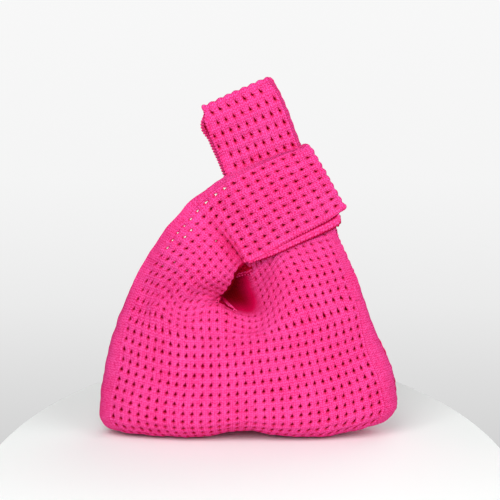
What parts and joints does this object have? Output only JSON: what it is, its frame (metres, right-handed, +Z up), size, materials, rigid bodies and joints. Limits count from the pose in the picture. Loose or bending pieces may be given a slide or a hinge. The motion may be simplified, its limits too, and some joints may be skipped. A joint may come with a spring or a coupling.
{
  "type": "knot bag",
  "caption": "Soft knitted knot bag: a rounded pouch whose long handle loop is drawn up through a short loop to close it and hang it from the wrist.",
  "frame": {"origin": "middle of the base, on the surface that the bag stands on", "axes": "+Z up, +X to the right as seen from the front, front facing -Y"},
  "size_m": [0.25, 0.076, 0.3015],
  "materials": {
    "eyelet_knit": "matte hot pink yarn, openwork knit with rows of eyelets",
    "plain_knit": "matte hot pink yarn, plain knit"
  },
  "bodies": {
    "bag": {"front_panel": "eyelet_knit", "back_panel": "eyelet_knit", "left_side_band": "plain_knit", "right_side_band": "plain_knit", "base_band": "plain_knit", "front_mouth_edging": "plain_knit", "back_mouth_edging": "plain_knit", "left_shoulder_front": "eyelet_knit", "left_shoulder_front_band": "plain_knit", "left_shoulder_front_edging": "plain_knit", "left_shoulder_back": "eyelet_knit", "left_shoulder_back_band": "plain_knit", "left_shoulder_back_edging": "plain_knit", "right_shoulder_front": "eyelet_knit", "right_shoulder_front_band": "plain_knit", "right_shoulder_front_edging": "plain_knit", "right_shoulder_back": "eyelet_knit", "right_shoulder_back_band": "plain_knit", "right_shoulder_back_edging": "plain_knit", "handle_stem_front": "eyelet_knit", "handle_stem_front_band": "plain_knit", "handle_stem_front_edging": "plain_knit", "handle_stem_back": "eyelet_knit", "handle_stem_back_band": "plain_knit", "handle_stem_back_edging": "plain_knit"},
    "keeper": {"keeper_front": "eyelet_knit", "keeper_front_band": "plain_knit", "keeper_front_edging": "plain_knit", "keeper_back": "eyelet_knit", "keeper_back_band": "plain_knit", "keeper_back_edging": "plain_knit", "keeper_end": "eyelet_knit"},
    "grip": {"grip_front": "eyelet_knit", "grip_front_band": "plain_knit", "grip_front_edging": "plain_knit", "grip_back": "eyelet_knit", "grip_back_band": "plain_knit", "grip_back_edging": "plain_knit", "grip_top": "eyelet_knit"}
  },
  "joints": [
    {"name": "keeper_slide", "type": "slide", "parent": "bag", "child": "keeper", "axis": [-0.342, 0, 0.9397], "range_m": [0, 0.015]},
    {"name": "grip_fold", "type": "hinge", "parent": "bag", "child": "grip", "pos_m": [0.00036, -0.0054, 0.25525], "axis": [0.9397, 0, 0.342], "range_deg": [0, 150]}
  ]
}
